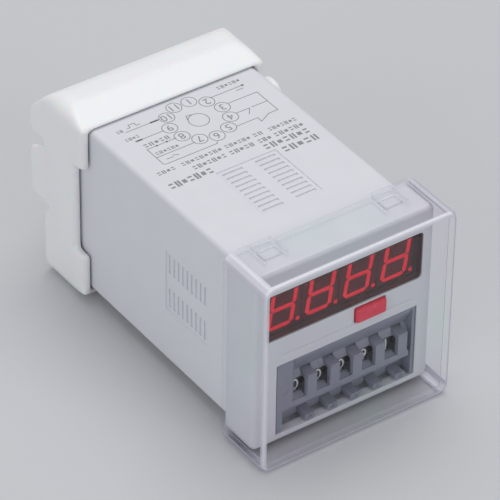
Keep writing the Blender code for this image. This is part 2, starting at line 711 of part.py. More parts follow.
def build_carrier(unit):
    """The side wall between two units, which holds one wheel on its axle and seats on the frame."""
    left = sight_x(unit) + WHEEL_WIDTH / 2 + RATCHET_WIDTH + GAP
    front = FLANGE_BACK + KEY_TRAVEL + GAP
    nose = WHEEL_Y - CARRIER_NOSE
    nose_top = UPPER_KEY_TOP - UPPER_KEY_HEIGHT - GAP
    wall = [
        (nose, CARRIER_BOTTOM),
        (CARRIER_REAR, CARRIER_BOTTOM),
        (CARRIER_REAR, CARRIER_TOP),
        (FLANGE_FACE, CARRIER_TOP),
        (FLANGE_FACE, CARRIER_TOP - CARRIER_ARM),
        (front, CARRIER_TOP - CARRIER_ARM),
        (front, nose_top),
        (nose, nose_top),
    ]
    plate = prism(wall, "X", left, left + CARRIER_THICKNESS)
    carrier = place(f"wheel_carrier_{unit + 1}", plate, SWITCH_GREY)
    axle_end = sight_x(unit) - WHEEL_WIDTH / 2
    axle = circle(AXLE_RADIUS, 12, (WHEEL_Y, WHEEL_Z))
    join(carrier, prism(axle, "X", axle_end, left + CARRIER_THICKNESS / 2))


def build_switch():
    build_switch_frame()
    for unit in range(UNIT_COUNT):
        build_carrier(unit)
        build_wheel(unit)
        build_keys(unit)
    first = sight_x(0) - WHEEL_WIDTH / 2
    last = key_x(UNIT_COUNT - 1) + KEY_BAR_WIDTH / 2
    front = CARRIER_REAR + GAP
    board = box((first, front, CARRIER_BOTTOM), (last, front + BOARD, CARRIER_TOP))
    place("switch_board", board, BOARD_GREEN)


# Works: two long boards and the transformer, relay, capacitor and chip on them
def build_works(board_front):
    front = board_front + BOARD + GAP
    rear = CASE_REAR - GAP - BASE_PLATE - GAP
    inner = SIDE_BOARD_X
    for name, side in (("power_board", -1), ("logic_board", 1)):
        ends = sorted((side * inner, side * (inner + BOARD)))
        low = (ends[0], front, -SIDE_BOARD_HEIGHT / 2)
        place(name, box(low, (ends[1], rear, SIDE_BOARD_HEIGHT / 2)), BOARD_GREEN)
    seat = inner - GAP

    # The transformer's core is a stack of E and I sheets, and its coil is wound on the middle leg
    core_left = -seat
    core_right = core_left + CORE_WIDTH
    half_depth = CORE_DEPTH / 2
    sheets = rectangle((core_left, -CORE_HEIGHT / 2), (core_right, CORE_HEIGHT / 2))
    stack = prism(sheets, "Y", CORE_Y - half_depth, CORE_Y + half_depth)
    core = place("transformer_core", stack, CORE_STEEL)
    slot_low = CORE_LEG / 2
    slot_high = CORE_HEIGHT / 2 - CORE_YOKE
    slots = bmesh.new()
    for side in (-1, 1):
        ends = sorted((side * slot_low, side * slot_high))
        outline = rectangle((core_left + CORE_YOKE, ends[0]), (core_right - CORE_YOKE, ends[1]))
        prism(outline, "Y", CORE_Y - half_depth - THROUGH, CORE_Y + half_depth + THROUGH, slots)
    cut(core, slots)
    coil_left = core_left + CORE_YOKE + GAP
    coil_right = core_right - CORE_YOKE - GAP
    around = rectangle((CORE_Y - COIL_HALF, GAP - slot_high), (CORE_Y + COIL_HALF, slot_high - GAP))
    winding = prism(rounded(around, 1 * MM), "X", coil_left, coil_right)
    coil = place("transformer_coil", winding, COIL_TAPE)
    leg = rectangle((CORE_Y - half_depth - GAP, -slot_low - GAP), (CORE_Y + half_depth + GAP, slot_low + GAP))
    cut(coil, prism(leg, "X", coil_left - THROUGH, coil_right + THROUGH))

    relay = box(
        (seat - RELAY_WIDTH, RELAY_Y - RELAY_LENGTH / 2, -RELAY_HEIGHT / 2),
        (seat, RELAY_Y + RELAY_LENGTH / 2, RELAY_HEIGHT / 2),
    )
    soften(relay, 2 * GAP, 2, lambda co: co.x < seat - RELAY_WIDTH + GAP)
    place("relay", relay, RELAY_BLUE)

    can = prism(circle(CAPACITOR_RADIUS, 24, (CAPACITOR_Y, 0)), "X", -seat, CAPACITOR_LENGTH - seat)
    soften(can, 2 * GAP, 2, lambda co: co.x > CAPACITOR_LENGTH - seat - GAP)
    place("capacitor", can, CAN_BLACK)

    chip_low = seat - LEG_WIDTH - CHIP_THICKNESS
    half_length = CHIP_LENGTH / 2
    chip = box(
        (chip_low, CHIP_Y - half_length, -CHIP_WIDTH / 2),
        (chip_low + CHIP_THICKNESS, CHIP_Y + half_length, CHIP_WIDTH / 2),
    )
    chip = place("counter_chip", chip, LAMP_BLACK)
    legs = bmesh.new()
    for side in (-1, 1):
        ends = sorted((side * (CHIP_WIDTH / 2 - GAP), side * (CHIP_WIDTH / 2 + LEG_WIDTH)))
        for leg in range(CHIP_LEGS):
            middle = CHIP_Y + LEG_PITCH * (leg - (CHIP_LEGS - 1) / 2)
            low = (chip_low + LEG_WIDTH, middle - LEG_WIDTH / 2, ends[0])
            box(low, (seat, middle + LEG_WIDTH / 2, ends[1]), legs)
    join(chip, legs)


# Cover: a clear box that clips over the bezel, with two spring hooks on its top and two below
def build_cover():
    shell = prism(rounded(centred(COVER_HALF, COVER_HALF), COVER_CORNER), "Y", COVER_FRONT_Y, COVER_REAR_Y)
    soften(shell, COVER_EDGE, 2, lambda co: co.y < COVER_FRONT_Y + GAP)
    cover = place("clear_cover", shell, CLEAR, at=(0, COVER_FRONT_Y, 0))
    inside = rounded(centred(COVER_INNER, COVER_INNER), COVER_CORNER - COVER_WALL)
    cut(cover, prism(inside, "Y", COVER_FRONT_Y + COVER_FRONT, COVER_REAR_Y + THROUGH))
    notches = bmesh.new()
    slits = bmesh.new()
    for side in (-1, 1):
        ends = sorted((side * (COVER_INNER - GAP), side * (COVER_HALF + THROUGH)))
        half = HOOK_X - HOOK_WIDTH / 2 - GAP
        low = (-half, COVER_REAR_Y - HOOK_NOTCH, ends[0])
        box(low, (half, COVER_REAR_Y + THROUGH, ends[1]), notches)
        for hook in (-HOOK_X, HOOK_X):
            for edge in (-1, 1):
                x = hook + edge * (HOOK_WIDTH / 2 + GAP + SLIT_WIDTH / 2)
                low = (x - SLIT_WIDTH / 2, COVER_REAR_Y - SLIT_LENGTH, ends[0])
                box(low, (x + SLIT_WIDTH / 2, COVER_REAR_Y + THROUGH, ends[1]), slits)
    cut(cover, notches)
    cut(cover, slits)
    for side in (-1, 1):
        for x in (-HOOK_X, HOOK_X):
            ends = sorted((side * (COVER_INNER - HOOK_NUB), side * (COVER_INNER + COVER_WALL / 2)))
            low = (x - HOOK_WIDTH / 2, HOOK_NUB_Y - HOOK_NUB_LENGTH / 2, ends[0])
            join(cover, box(low, (x + HOOK_WIDTH / 2, HOOK_NUB_Y + HOOK_NUB_LENGTH / 2, ends[1])))


# Bracket: a one-piece nylon sleeve that slides along the case and clamps the panel with its feet
def build_bracket():
    lip = CASE_HALF + GAP + SLEEVE_LIP
    top = SLEEVE_HALF_HEIGHT
    corners = [
        (SLEEVE_FRONT, lip, 0.3 * MM),
        (SLEEVE_FRONT + SLEEVE_CROWN, top, SLEEVE_CROWN),
        (SHOULDER_Y, top, SHOULDER_ROUND),
        (EAR_REAR, EAR_TOP, EAR_ROUND),
        (EAR_REAR, EAR_BOTTOM, 0.8 * MM),
        (SLOT_END, EAR_BOTTOM, 0),
        (SLOT_END, TAB_ROOT, 0),
        (EAR_REAR, TAB_TOP, TAB_ROUND),
        (EAR_REAR, TAB_BOTTOM, TAB_ROUND),
        (LOWER_REAR - TAB_NOTCH, TAB_BOTTOM, 0),
        (LOWER_REAR, TAB_BOTTOM - TAB_NOTCH, 0.6 * MM),
        (LOWER_REAR, -top, LOWER_ROUND),
        (SLEEVE_FRONT + SLEEVE_CROWN, -top, SLEEVE_CROWN),
        (SLEEVE_FRONT, -lip, 0.3 * MM),
    ]
    side_view = rounded([corner[:2] for corner in corners], [corner[2] for corner in corners], 4)
    front_view = rounded(centred(SLEEVE_HALF_WIDTH, top), SLEEVE_CORNER, 5)
    body = prism(front_view, "Y", SLEEVE_FRONT - THROUGH, EAR_REAR + THROUGH)
    bracket = place("bracket", body, NYLON_WHITE, at=(0, SLEEVE_SIDE_FRONT, 0))
    wide = SLEEVE_HALF_WIDTH + THROUGH
    combine(bracket, "INTERSECT", prism(side_view, "X", -wide, wide))
    inner = SLEEVE_INNER - GAP
    for side in (-1, 1):
        for front, height in ((SLEEVE_SIDE_FRONT, CORNER_HEIGHT), (SLEEVE_FRONT, top - SLEEVE_CORNER)):
            trim = [(side * inner, front - SLEEVE_CROWN), (side * wide, front - SLEEVE_CROWN)]
            trim.append((side * wide, front + SIDE_ROUND))
            for step in range(6):
                turn = math.pi / 2 * (1 - step / 5)
                x = SLEEVE_HALF_WIDTH - SIDE_ROUND + SIDE_ROUND * math.sin(turn)
                trim.append((side * x, front + SIDE_ROUND - SIDE_ROUND * math.cos(turn)))
            trim.append((side * inner, front))
            cut(bracket, prism(trim, "Z", -height, height))
    feet = bmesh.new()
    for end in (-1, 1):
        low = end * FOOT_BOTTOM
        high = end * FOOT_TOP
        neck = end * (FOOT_TOP - FOOT_NECK)
        rear = SLEEVE_FRONT + SIDE_ROUND
        view = [
            (FOOT_FRONT, low),
            (rear, low),
            (rear, neck),
            (SLEEVE_FRONT, neck),
            (SLEEVE_FRONT - FOOT_NECK, high),
            (FOOT_FRONT, high),
        ]
        outline = rounded(view, [FOOT_ROUND / 3, 0, 0, 0, FOOT_NECK, FOOT_ROUND], 5)
        prism(outline, "X", inner, SLEEVE_HALF_WIDTH, feet)
    join(bracket, feet)
    cut(bracket, prism(centred(SLEEVE_INNER, SLEEVE_INNER), "Y", FOOT_FRONT - THROUGH, EAR_REAR + THROUGH))
    wing_inner = SLEEVE_HALF_WIDTH - WING_THICKNESS
    cut(bracket, prism(centred(wing_inner, SLEEVE_INNER), "Y", SLOT_END, EAR_REAR + THROUGH))


build_case()
build_plug()
build_bezel()
display_board_front = build_display()
build_reset(display_board_front)
build_switch()
build_works(display_board_front)
build_cover()
build_bracket()
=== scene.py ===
"""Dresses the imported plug-in panel counter and sets it in a plain studio."""

import json
import math

import bmesh
import bpy
from mathutils import Matrix, Vector

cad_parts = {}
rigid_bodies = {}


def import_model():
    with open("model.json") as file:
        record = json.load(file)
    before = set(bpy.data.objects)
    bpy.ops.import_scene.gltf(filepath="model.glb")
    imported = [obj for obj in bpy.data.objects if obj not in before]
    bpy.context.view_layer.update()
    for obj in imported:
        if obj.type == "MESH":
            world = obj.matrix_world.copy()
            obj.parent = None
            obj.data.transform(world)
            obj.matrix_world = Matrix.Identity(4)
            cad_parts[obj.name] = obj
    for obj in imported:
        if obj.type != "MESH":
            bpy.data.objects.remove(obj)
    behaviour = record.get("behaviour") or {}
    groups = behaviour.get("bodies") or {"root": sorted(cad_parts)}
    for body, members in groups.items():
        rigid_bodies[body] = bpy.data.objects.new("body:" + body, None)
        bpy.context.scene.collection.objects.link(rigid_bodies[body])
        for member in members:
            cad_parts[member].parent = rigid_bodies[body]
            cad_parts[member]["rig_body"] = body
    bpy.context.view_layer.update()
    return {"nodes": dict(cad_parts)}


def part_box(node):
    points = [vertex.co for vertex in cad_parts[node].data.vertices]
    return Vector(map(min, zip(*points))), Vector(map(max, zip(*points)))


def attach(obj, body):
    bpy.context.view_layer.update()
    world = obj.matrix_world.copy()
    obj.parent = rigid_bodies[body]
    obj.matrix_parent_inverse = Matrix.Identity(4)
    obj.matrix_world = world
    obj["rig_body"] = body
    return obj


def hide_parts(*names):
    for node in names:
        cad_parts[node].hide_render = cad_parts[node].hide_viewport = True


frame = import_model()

mm = 0.001
nodes = frame["nodes"]


# Boards
# Four sheets of green lacquered glass laminate: two stand along the inside of the case, one carries the
# digits and one the number switch. Their copper shows through the lacquer as faint lighter runs.
def texture(tree, kind, scale, detail=3.0, source="Object"):
    """A noise, Voronoi or wave node that reads the piece's own coordinates."""
    here = tree.nodes.new("ShaderNodeTexCoord")
    made = tree.nodes.new(kind)
    made.inputs["Scale"].default_value = scale
    if "Detail" in made.inputs:
        made.inputs["Detail"].default_value = detail
    tree.links.new(here.outputs[source], made.inputs["Vector"])
    return made


def tinted(tree, signal, low, high):
    """The signal turned into a colour between two others, for the base colour."""
    mix = tree.nodes.new("ShaderNodeMix")
    mix.data_type = "RGBA"
    mix.inputs[6].default_value = (*low, 1)
    mix.inputs[7].default_value = (*high, 1)
    tree.links.new(signal, mix.inputs[0])
    return mix.outputs[2]


def ranged(tree, signal, low, high):
    """The middle of a noise's range stretched to lie between two values."""
    span = tree.nodes.new("ShaderNodeMapRange")
    span.inputs["From Min"].default_value = 0.3
    span.inputs["From Max"].default_value = 0.7
    span.inputs["To Min"].default_value = low
    span.inputs["To Max"].default_value = high
    tree.links.new(signal, span.inputs["Value"])
    return span.outputs["Result"]


def raised(tree, signal, depth, below=None):
    """A bump of that depth from the signal, laid over another bump if there is one."""
    bump = tree.nodes.new("ShaderNodeBump")
    bump.inputs["Strength"].default_value = 1
    bump.inputs["Distance"].default_value = depth
    tree.links.new(signal, bump.inputs["Height"])
    if below:
        tree.links.new(below, bump.inputs["Normal"])
    return bump.outputs["Normal"]


def finish(name, colour, roughness, grain, depth, mottle=0.05, metallic=0.0):
    """A surface with a fine grain in its relief and slow changes in its shade and its gloss."""
    made = bpy.data.materials.new(name)
    made.use_nodes = True
    tree = made.node_tree
    shader = tree.nodes["Principled BSDF"]
    shader.inputs["Metallic"].default_value = metallic
    cloud = texture(tree, "ShaderNodeTexNoise", 1 / (8 * mm), 4)
    fine = texture(tree, "ShaderNodeTexNoise", 1 / grain, 3)
    low = [part * (1 - mottle) for part in colour]
    high = [min(1, part * (1 + mottle)) for part in colour]
    tree.links.new(tinted(tree, cloud.outputs["Fac"], low, high), shader.inputs["Base Color"])
    gloss = ranged(tree, cloud.outputs["Fac"], roughness - 0.05, roughness + 0.05)
    tree.links.new(gloss, shader.inputs["Roughness"])
    tree.links.new(raised(tree, fine.outputs["Fac"], depth), shader.inputs["Normal"])
    return made


def laminate():
    """Lacquered board with a brick pattern of lighter copper runs."""
    made = finish("board_laminate", (0.03, 0.19, 0.08), 0.35, 0.3 * mm, 0.004 * mm)
    tree = made.node_tree
    shader = tree.nodes["Principled BSDF"]
    runs = texture(tree, "ShaderNodeTexBrick", 1 / (6 * mm))
    runs.inputs["Mortar Size"].default_value = 0.06
    green = tinted(tree, runs.outputs["Fac"], (0.03, 0.17, 0.07), (0.08, 0.30, 0.12))
    tree.links.new(green, shader.inputs["Base Color"])
    return made


board_finish = laminate()
for board in ("power_board", "logic_board", "display_board", "switch_board"):
    nodes[board].data.materials[0] = board_finish


# Works
# The transformer's core is a stack of thin varnished steel sheets, and its winding lies under yellow tape.
# The relay has a moulded blue cover, the capacitor a shrunk dark sleeve, and the chip a matt black body.
def layered(name, colour, dark, pitch, axis, roughness, metallic):
    """A surface with even fine lines across one axis: sheet edges, or turns of tape."""
    made = finish(name, colour, roughness, 0.5 * mm, 0.003 * mm, metallic=metallic)
    tree = made.node_tree
    shader = tree.nodes["Principled BSDF"]
    lines = texture(tree, "ShaderNodeTexWave", 1 / pitch)
    lines.bands_direction = axis
    tree.links.new(tinted(tree, lines.outputs["Fac"], dark, colour), shader.inputs["Base Color"])
    tree.links.new(raised(tree, lines.outputs["Fac"], 0.05 * mm), shader.inputs["Normal"])
    return made


core_finish = layered("core_sheets", (0.36, 0.36, 0.38), (0.10, 0.09, 0.09), 1.6 * mm, "Y", 0.4, 1.0)
coil_finish = layered("winding_tape", (0.66, 0.46, 0.08), (0.50, 0.33, 0.05), 12 * mm, "X", 0.35, 0.0)
relay_finish = finish("relay_cover", (0.04, 0.14, 0.36), 0.35, 0.3 * mm, 0.006 * mm)
sleeve_finish = finish("capacitor_wrap", (0.02, 0.03, 0.08), 0.25, 0.8 * mm, 0.004 * mm)
chip_finish = finish("chip_resin", (0.03, 0.03, 0.032), 0.55, 0.15 * mm, 0.008 * mm)
for node, made in (
    ("transformer_core", core_finish),
    ("transformer_coil", coil_finish),
    ("relay", relay_finish),
    ("capacitor", sleeve_finish),
    ("counter_chip", chip_finish),
    ("reset_switch", chip_finish),
):
    nodes[node].data.materials[0] = made


# Digit blocks
# Four dark resin blocks with light pipes in their faces: seven slanted red bars and a point each, under the
# filter. The bars are red resin with a painted glow, so that they all show.
DIGIT_HEIGHT = 10.4 * mm
DIGIT_WIDTH = 6.9 * mm
BAR = 0.95 * mm
BAR_GAP = 0.12 * mm
DIGIT_SLANT = math.tan(math.radians(9))
DIGIT_LIFT = 0.2 * mm
BAR_PROUD = 0.1 * mm
POINT_STEP = 0.6 * mm
POINT_RADIUS = 0.5 * mm

block_finish = finish("digit_block_resin", (0.20, 0.02, 0.025), 0.45, 0.2 * mm, 0.005 * mm, 0.15)
bar_resin_painted_light = finish("digit_bar_resin_with_painted_light", (0.75, 0.03, 0.06), 0.3, 0.2 * mm, 0.003 * mm)
# Painted glow: the bars get a soft red light of their own, so that all seven show
bar_painted_light = bar_resin_painted_light.node_tree.nodes["Principled BSDF"]
bar_painted_light.inputs["Emission Color"].default_value = (1.0, 0.08, 0.18, 1)
bar_painted_light.inputs["Emission Strength"].default_value = 0.7


def piece(name, made, finish_used, body, slot, *stands_for):
    """Turns a bmesh into a piece of the scene that rides on a body."""
    mesh = bpy.data.meshes.new(name)
    made.to_mesh(mesh)
    made.free()
    mesh.materials.append(finish_used)
    thing = bpy.data.objects.new(name, mesh)
    bpy.context.scene.collection.objects.link(thing)
    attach(thing, body)
    if stands_for:
        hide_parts(*stands_for)
    return thing


def bar(made, centre, half, upright, matrix):
    """One six-sided light bar, pointed at both ends, as a thin plate."""
    wide = BAR / 2
    tip = half - BAR_GAP
    above = [(-tip, 0), (wide - tip, wide), (tip - wide, wide)]
    outline = above + [(-u, -v) for u, v in above]
    if upright:
        outline = [(-v, u) for u, v in outline]
    corners = [(centre[0] + u + DIGIT_SLANT * (centre[1] + v), 0, centre[1] + v) for u, v in outline]
    made.faces.new([made.verts.new(matrix @ Vector(corner)) for corner in corners])


def digit(number):
    """The seven bars and the point of one block, raised a little from its face."""
    low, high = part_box(f"digit_block_{number}")
    centre = Vector(((low.x + high.x) / 2, low.y, (low.z + high.z) / 2 + DIGIT_LIFT))
    matrix = Matrix.Translation(centre)
    made = bmesh.new()
    across = DIGIT_WIDTH / 2 - BAR / 2
    tall = DIGIT_HEIGHT / 2 - BAR / 2
    for level in (-tall, 0, tall):
        bar(made, (0, level), across, False, matrix)
    for side in (-across, across):
        for level in (-tall / 2, tall / 2):
            bar(made, (side, level), tall / 2, True, matrix)
    point = centre + Vector((DIGIT_WIDTH / 2 + POINT_STEP, 0, -tall))
    dot = Matrix.Translation(point) @ Matrix.Rotation(math.pi / 2, 4, "X")
    bmesh.ops.create_circle(made, cap_ends=True, segments=20, radius=POINT_RADIUS, matrix=dot)
    flat = bmesh.ops.extrude_face_region(made, geom=made.faces[:])
    front = [item for item in flat["geom"] if isinstance(item, bmesh.types.BMVert)]
    bmesh.ops.translate(made, verts=front, vec=(0, -BAR_PROUD, 0))
    bmesh.ops.recalc_face_normals(made, faces=made.faces)
    piece(f"digit_{number}", made, bar_resin_painted_light, "counter", "red_filter")
    nodes[f"digit_block_{number}"].data.materials[0] = block_finish


for number in range(1, 5):
    digit(number)


# Number switch
# Five carriers of grey nylon with an axle each, a black drum with ten white figures on every axle, one
# frame with sloping sights in front of them, and two sprung keys to each unit. All of it clips together.
MERGE = 0.001 * mm
COPLANAR = math.radians(0.5)
SHARP = math.radians(50)
CAPITALS = 0.69
FIGURE_HEIGHT = 2.7 * mm
FIGURE_PROUD = 0.02 * mm
SHOWN = (0, 0, 0, 9, 1)
DRUM_EDGE = 0.05 * mm
KEY_EDGE = 0.12 * mm
FRAME_EDGE = 0.15 * mm

switch_finish = finish("switch_nylon", (0.25, 0.265, 0.325), 0.32, 0.35 * mm, 0.006 * mm, 0.10)
drum_finish = finish("drum_nylon", (0.035, 0.036, 0.04), 0.4, 0.3 * mm, 0.004 * mm)
figure_finish = finish("figure_ink", (0.85, 0.86, 0.86), 0.5, 0.2 * mm, 0.002 * mm)


def dressed(node, finish_used, slot, edge, steps=2, crease=30):
    """A merged copy of a CAD node with its sharp edges rounded off, shown in the node's place."""
    made = bmesh.new()
    made.from_mesh(nodes[node].data)
    bmesh.ops.remove_doubles(made, verts=made.verts, dist=MERGE)
    bmesh.ops.dissolve_limit(made, angle_limit=COPLANAR, verts=made.verts, edges=made.edges)
    for face in made.faces:
        face.smooth = True
    thing = piece(f"{node}_moulding", made, finish_used, nodes[node]["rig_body"], slot, node)
    if edge:
        bevel = thing.modifiers.new("edges", "BEVEL")
        bevel.width = edge
        bevel.segments = steps
        bevel.limit_method = "ANGLE"
        bevel.angle_limit = math.radians(crease)
    thing.data.set_sharp_from_angle(angle=SHARP)
    even = thing.modifiers.new("shading", "WEIGHTED_NORMAL")
    even.keep_sharp = True
    return thing


def figures(text, height):
    """Flat figures in a bmesh, centred on the origin of the XY plane."""
    curve = bpy.data.curves.new("figures", "FONT")
    curve.body = text
    curve.size = height / CAPITALS
    curve.align_x = "CENTER"
    curve.resolution_u = 4
    holder = bpy.data.objects.new("figures", curve)
    bpy.context.scene.collection.objects.link(holder)
    graph = bpy.context.evaluated_depsgraph_get()
    flat = bpy.data.meshes.new_from_object(holder.evaluated_get(graph), depsgraph=graph)
    made = bmesh.new()
    made.from_mesh(flat)
    bpy.data.objects.remove(holder)
    bpy.data.curves.remove(curve)
    bpy.data.meshes.remove(flat)
    bmesh.ops.remove_doubles(made, verts=made.verts, dist=MERGE)
    bmesh.ops.translate(made, verts=made.verts, vec=(0, -height / 2, 0))
    return made


def add(into, made, matrix):
    """Copies one bmesh into another, placed by a matrix."""
    mesh = bpy.data.meshes.new("part")
    made.to_mesh(mesh)
    made.free()
    mesh.transform(matrix)
    into.from_mesh(mesh)
    bpy.data.meshes.remove(mesh)


def drum_figures(unit, middle, radius):
    """Ten figures printed round a drum, the unit's own one facing forward."""
    around = bmesh.new()
    for step in range(10):
        made = figures(str((SHOWN[unit - 1] + step) % 10), FIGURE_HEIGHT)
        bmesh.ops.triangulate(made, faces=made.faces[:])
        bmesh.ops.subdivide_edges(made, edges=made.edges[:], cuts=2, use_grid_fill=True)
        turn = 2 * math.pi * step / 10
        out = radius + FIGURE_PROUD
        for vert in made.verts:
            swing = turn + vert.co.y / radius
            vert.co = Vector((vert.co.x, -out * math.cos(swing), out * math.sin(swing)))
        add(around, made, Matrix.Translation(middle))
    bmesh.ops.solidify(around, geom=around.faces[:], thickness=FIGURE_PROUD)
    piece(f"drum_{unit}_figures", around, figure_finish, f"number_wheel_{unit}", "wheel_black")


for unit in range(1, 6):
    low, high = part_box(f"number_wheel_{unit}")
    radius = (high.z - low.z) / 2
    drum_figures(unit, (low + high) / 2, radius)
    dressed(f"number_wheel_{unit}", drum_finish, "wheel_black", DRUM_EDGE)
    nodes[f"wheel_carrier_{unit}"].data.materials[0] = switch_finish
    dressed(f"upper_key_{unit}", switch_finish, "switch_grey", KEY_EDGE)
    dressed(f"lower_key_{unit}", switch_finish, "switch_grey", KEY_EDGE)
dressed("switch_frame", switch_finish, "switch_grey", FRAME_EDGE)


# Reset
# A glossy red key, moulded in one piece, slides in a bore of the bezel. The sprung grey plunger of its switch
# stands behind it and carries it back.
BUTTON_EDGE = 0.2 * mm

button_finish = finish("reset_moulding", (0.78, 0.035, 0.075), 0.28, 0.4 * mm, 0.004 * mm)
dressed("reset_button", button_finish, "button_red", BUTTON_EDGE, 3)
nodes["reset_plunger"].data.materials[0] = switch_finish


# Filter and bezel
# The filter is a cast dark red plate behind the bezel's opening. The bezel is one moulding of light grey
# plastic with a fine matt texture, and a thin groove runs across it between the display and the switch.
FILTER_EDGE = 0.1 * mm
BEZEL_EDGE = 0.12 * mm
BEND = 1.49


def blended(tree, share, first, second):
    """Two shaders mixed: the share is a number, or a socket that gives it."""
    mix = tree.nodes.new("ShaderNodeMixShader")
    if isinstance(share, bpy.types.NodeSocket):
        tree.links.new(share, mix.inputs[0])
    else:
        mix.inputs[0].default_value = share
    tree.links.new(first, mix.inputs[1])
    tree.links.new(second, mix.inputs[2])
    return mix.outputs["Shader"]


def passing(tree, tint):
    """Light that goes straight through with a tint."""
    made = tree.nodes.new("ShaderNodeBsdfTransparent")
    made.inputs["Color"].default_value = (*tint, 1)
    return made.outputs["BSDF"]


def lit_through(tree, shader, tint):
    """The finished surface, which lets the lamps through with that tint so that it casts a pale shadow."""
    rays = tree.nodes.new("ShaderNodeLightPath")
    surface = blended(tree, rays.outputs["Is Shadow Ray"], shader, passing(tree, tint))
    tree.links.new(surface, tree.nodes["Material Output"].inputs["Surface"])


def coloured_plate(name, tint):
    """Thick coloured plastic, which bends the light from what lies behind it."""
    made = finish(name, tint, 0.06, 12 * mm, 0.01 * mm, 0.02)
    shader = made.node_tree.nodes["Principled BSDF"]
    shader.inputs["IOR"].default_value = BEND
    shader.inputs["Transmission Weight"].default_value = 1
    shader.inputs["Specular IOR Level"].default_value = 0.25
    lit_through(made.node_tree, shader.outputs["BSDF"], tint)
    return made


filter_finish = coloured_plate("red_filter_plate", (0.62, 0.12, 0.17))
bezel_finish = finish("bezel_moulding", (0.68, 0.69, 0.73), 0.42, 0.3 * mm, 0.008 * mm)
# Painted shade: a dark matt colour for the filter plate's narrow sides
filter_rim_painted_shade = finish("red_filter_rim_painted_shade", (0.10, 0.012, 0.018), 0.4, 0.3 * mm, 0.003 * mm)
window = dressed("window", filter_finish, "red_filter", FILTER_EDGE)

# The plate's narrow sides are painted dark and matt as painted shade, so that the bars don't shine in them
window.data.materials.append(filter_rim_painted_shade)
for face in window.data.polygons:
    if abs(face.normal.y) < 0.5:
        face.material_index = 1
dressed("bezel", bezel_finish, "bezel_grey", BEZEL_EDGE)


# Case
# A square tube moulded in light grey plastic, with a fine spark-eroded texture and panels of louvre grooves.
# Its top carries the plug's connections in grey ink: a ring of numbered circles with thin lines to each side.
CASE_EDGE = 0.08 * mm
GROOVE_FLOOR = 0.45 * mm
GROOVE_DEEPER = 0.15 * mm
CLOSE = 0.01 * mm
INK_PROUD = 0.02 * mm
LINE = 0.19 * mm
ROUND = 40
RING_RADIUS = 7.2 * mm
CIRCLE_RADIUS = 1.9 * mm
NUMBER_HEIGHT = 2.1 * mm
POST_MARK = 2.5 * mm
POST_POINT = 2.9 * mm
POST_TURN = math.radians(120)
POST_HALF = math.radians(25)
POST_SWING = 0.45
PLAN_SHIFT = 0.2 * mm
PLAN_BACK = 23.9 * mm

case_finish = finish("case_moulding", (0.72, 0.73, 0.77), 0.45, 0.28 * mm, 0.010 * mm, 0.03)
case = dressed("case", case_finish, "case_grey", CASE_EDGE)

# The floors of the louvre grooves lie deeper than the plain solid has them
case_low, case_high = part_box("case")
case_middle = (case_low + case_high) / 2
for vert in case.data.vertices:
    for side in (0, 2):
        away = vert.co[side] - case_middle[side]
        floor_level = case_high[side] - case_middle[side] - GROOVE_FLOOR
        if abs(abs(away) - floor_level) < CLOSE:
            vert.co[side] -= math.copysign(GROOVE_DEEPER, away)

ink_finish = finish("case_ink", (0.27, 0.27, 0.28), 0.6, 0.2 * mm, 0.002 * mm)
plan = Vector((PLAN_SHIFT, case_high.y - PLAN_BACK, case_high.z))


def hoop(into, centre, radius, line=LINE):
    """A thin printed circle lying flat at a centre."""
    made = bmesh.new()
    bmesh.ops.create_circle(made, cap_ends=True, segments=ROUND, radius=radius)
    bmesh.ops.inset_individual(made, faces=made.faces[:], thickness=line)
    disc = [face for face in made.faces if len(face.verts) == ROUND]
    bmesh.ops.delete(made, geom=disc, context="FACES")
    add(into, made, Matrix.Translation((centre[0], centre[1], 0)))


def stroke(into, start, end, line=LINE):
    """A thin printed line between two points."""
    start = Vector(start)
    run = Vector(end) - start
    made = bmesh.new()
    bmesh.ops.create_grid(made, x_segments=1, y_segments=1, size=0.5)
    bmesh.ops.scale(made, verts=made.verts, vec=(run.length, line, 1))
    middle = start + run / 2
    turn = Matrix.Rotation(math.atan2(run.y, run.x), 4, "Z")
    add(into, made, Matrix.Translation((middle.x, middle.y, 0)) @ turn)


def path(into, points, line=LINE):
    """Thin printed lines from point to point."""
    for start, end in zip(points, points[1:]):
        stroke(into, start, end, line)


def dash(into, start, end, line):
    """A printed line between two points in millimetres, with its width in millimetres too."""
    stroke(into, [part * mm for part in start], [part * mm for part in end], line * mm)


def marks_row(into, start, end, y, height, marks):
    """A row of small plain shapes in place of a line of print: blocks, pairs of dashes and pairs of bars."""
    pitch = (end - start) / marks
    block = height * 0.6
    thin = height * 0.24
    wide = abs(pitch) * 0.62
    for mark in range(marks):
        x = start + pitch * (mark + 0.5)
        kind = (mark * 2 + marks) % 3
        if kind == 0:
            dash(into, (x - wide / 2, y), (x + wide / 2, y), block)
        if kind == 1:
            for level in (y - height * 0.3, y + height * 0.3):
                dash(into, (x - wide / 2, level), (x + wide / 2, level), thin)
        if kind == 2:
            for side in (x - wide * 0.35, x + wide * 0.35):
                dash(into, (side, y - height / 2), (side, y + height / 2), thin)


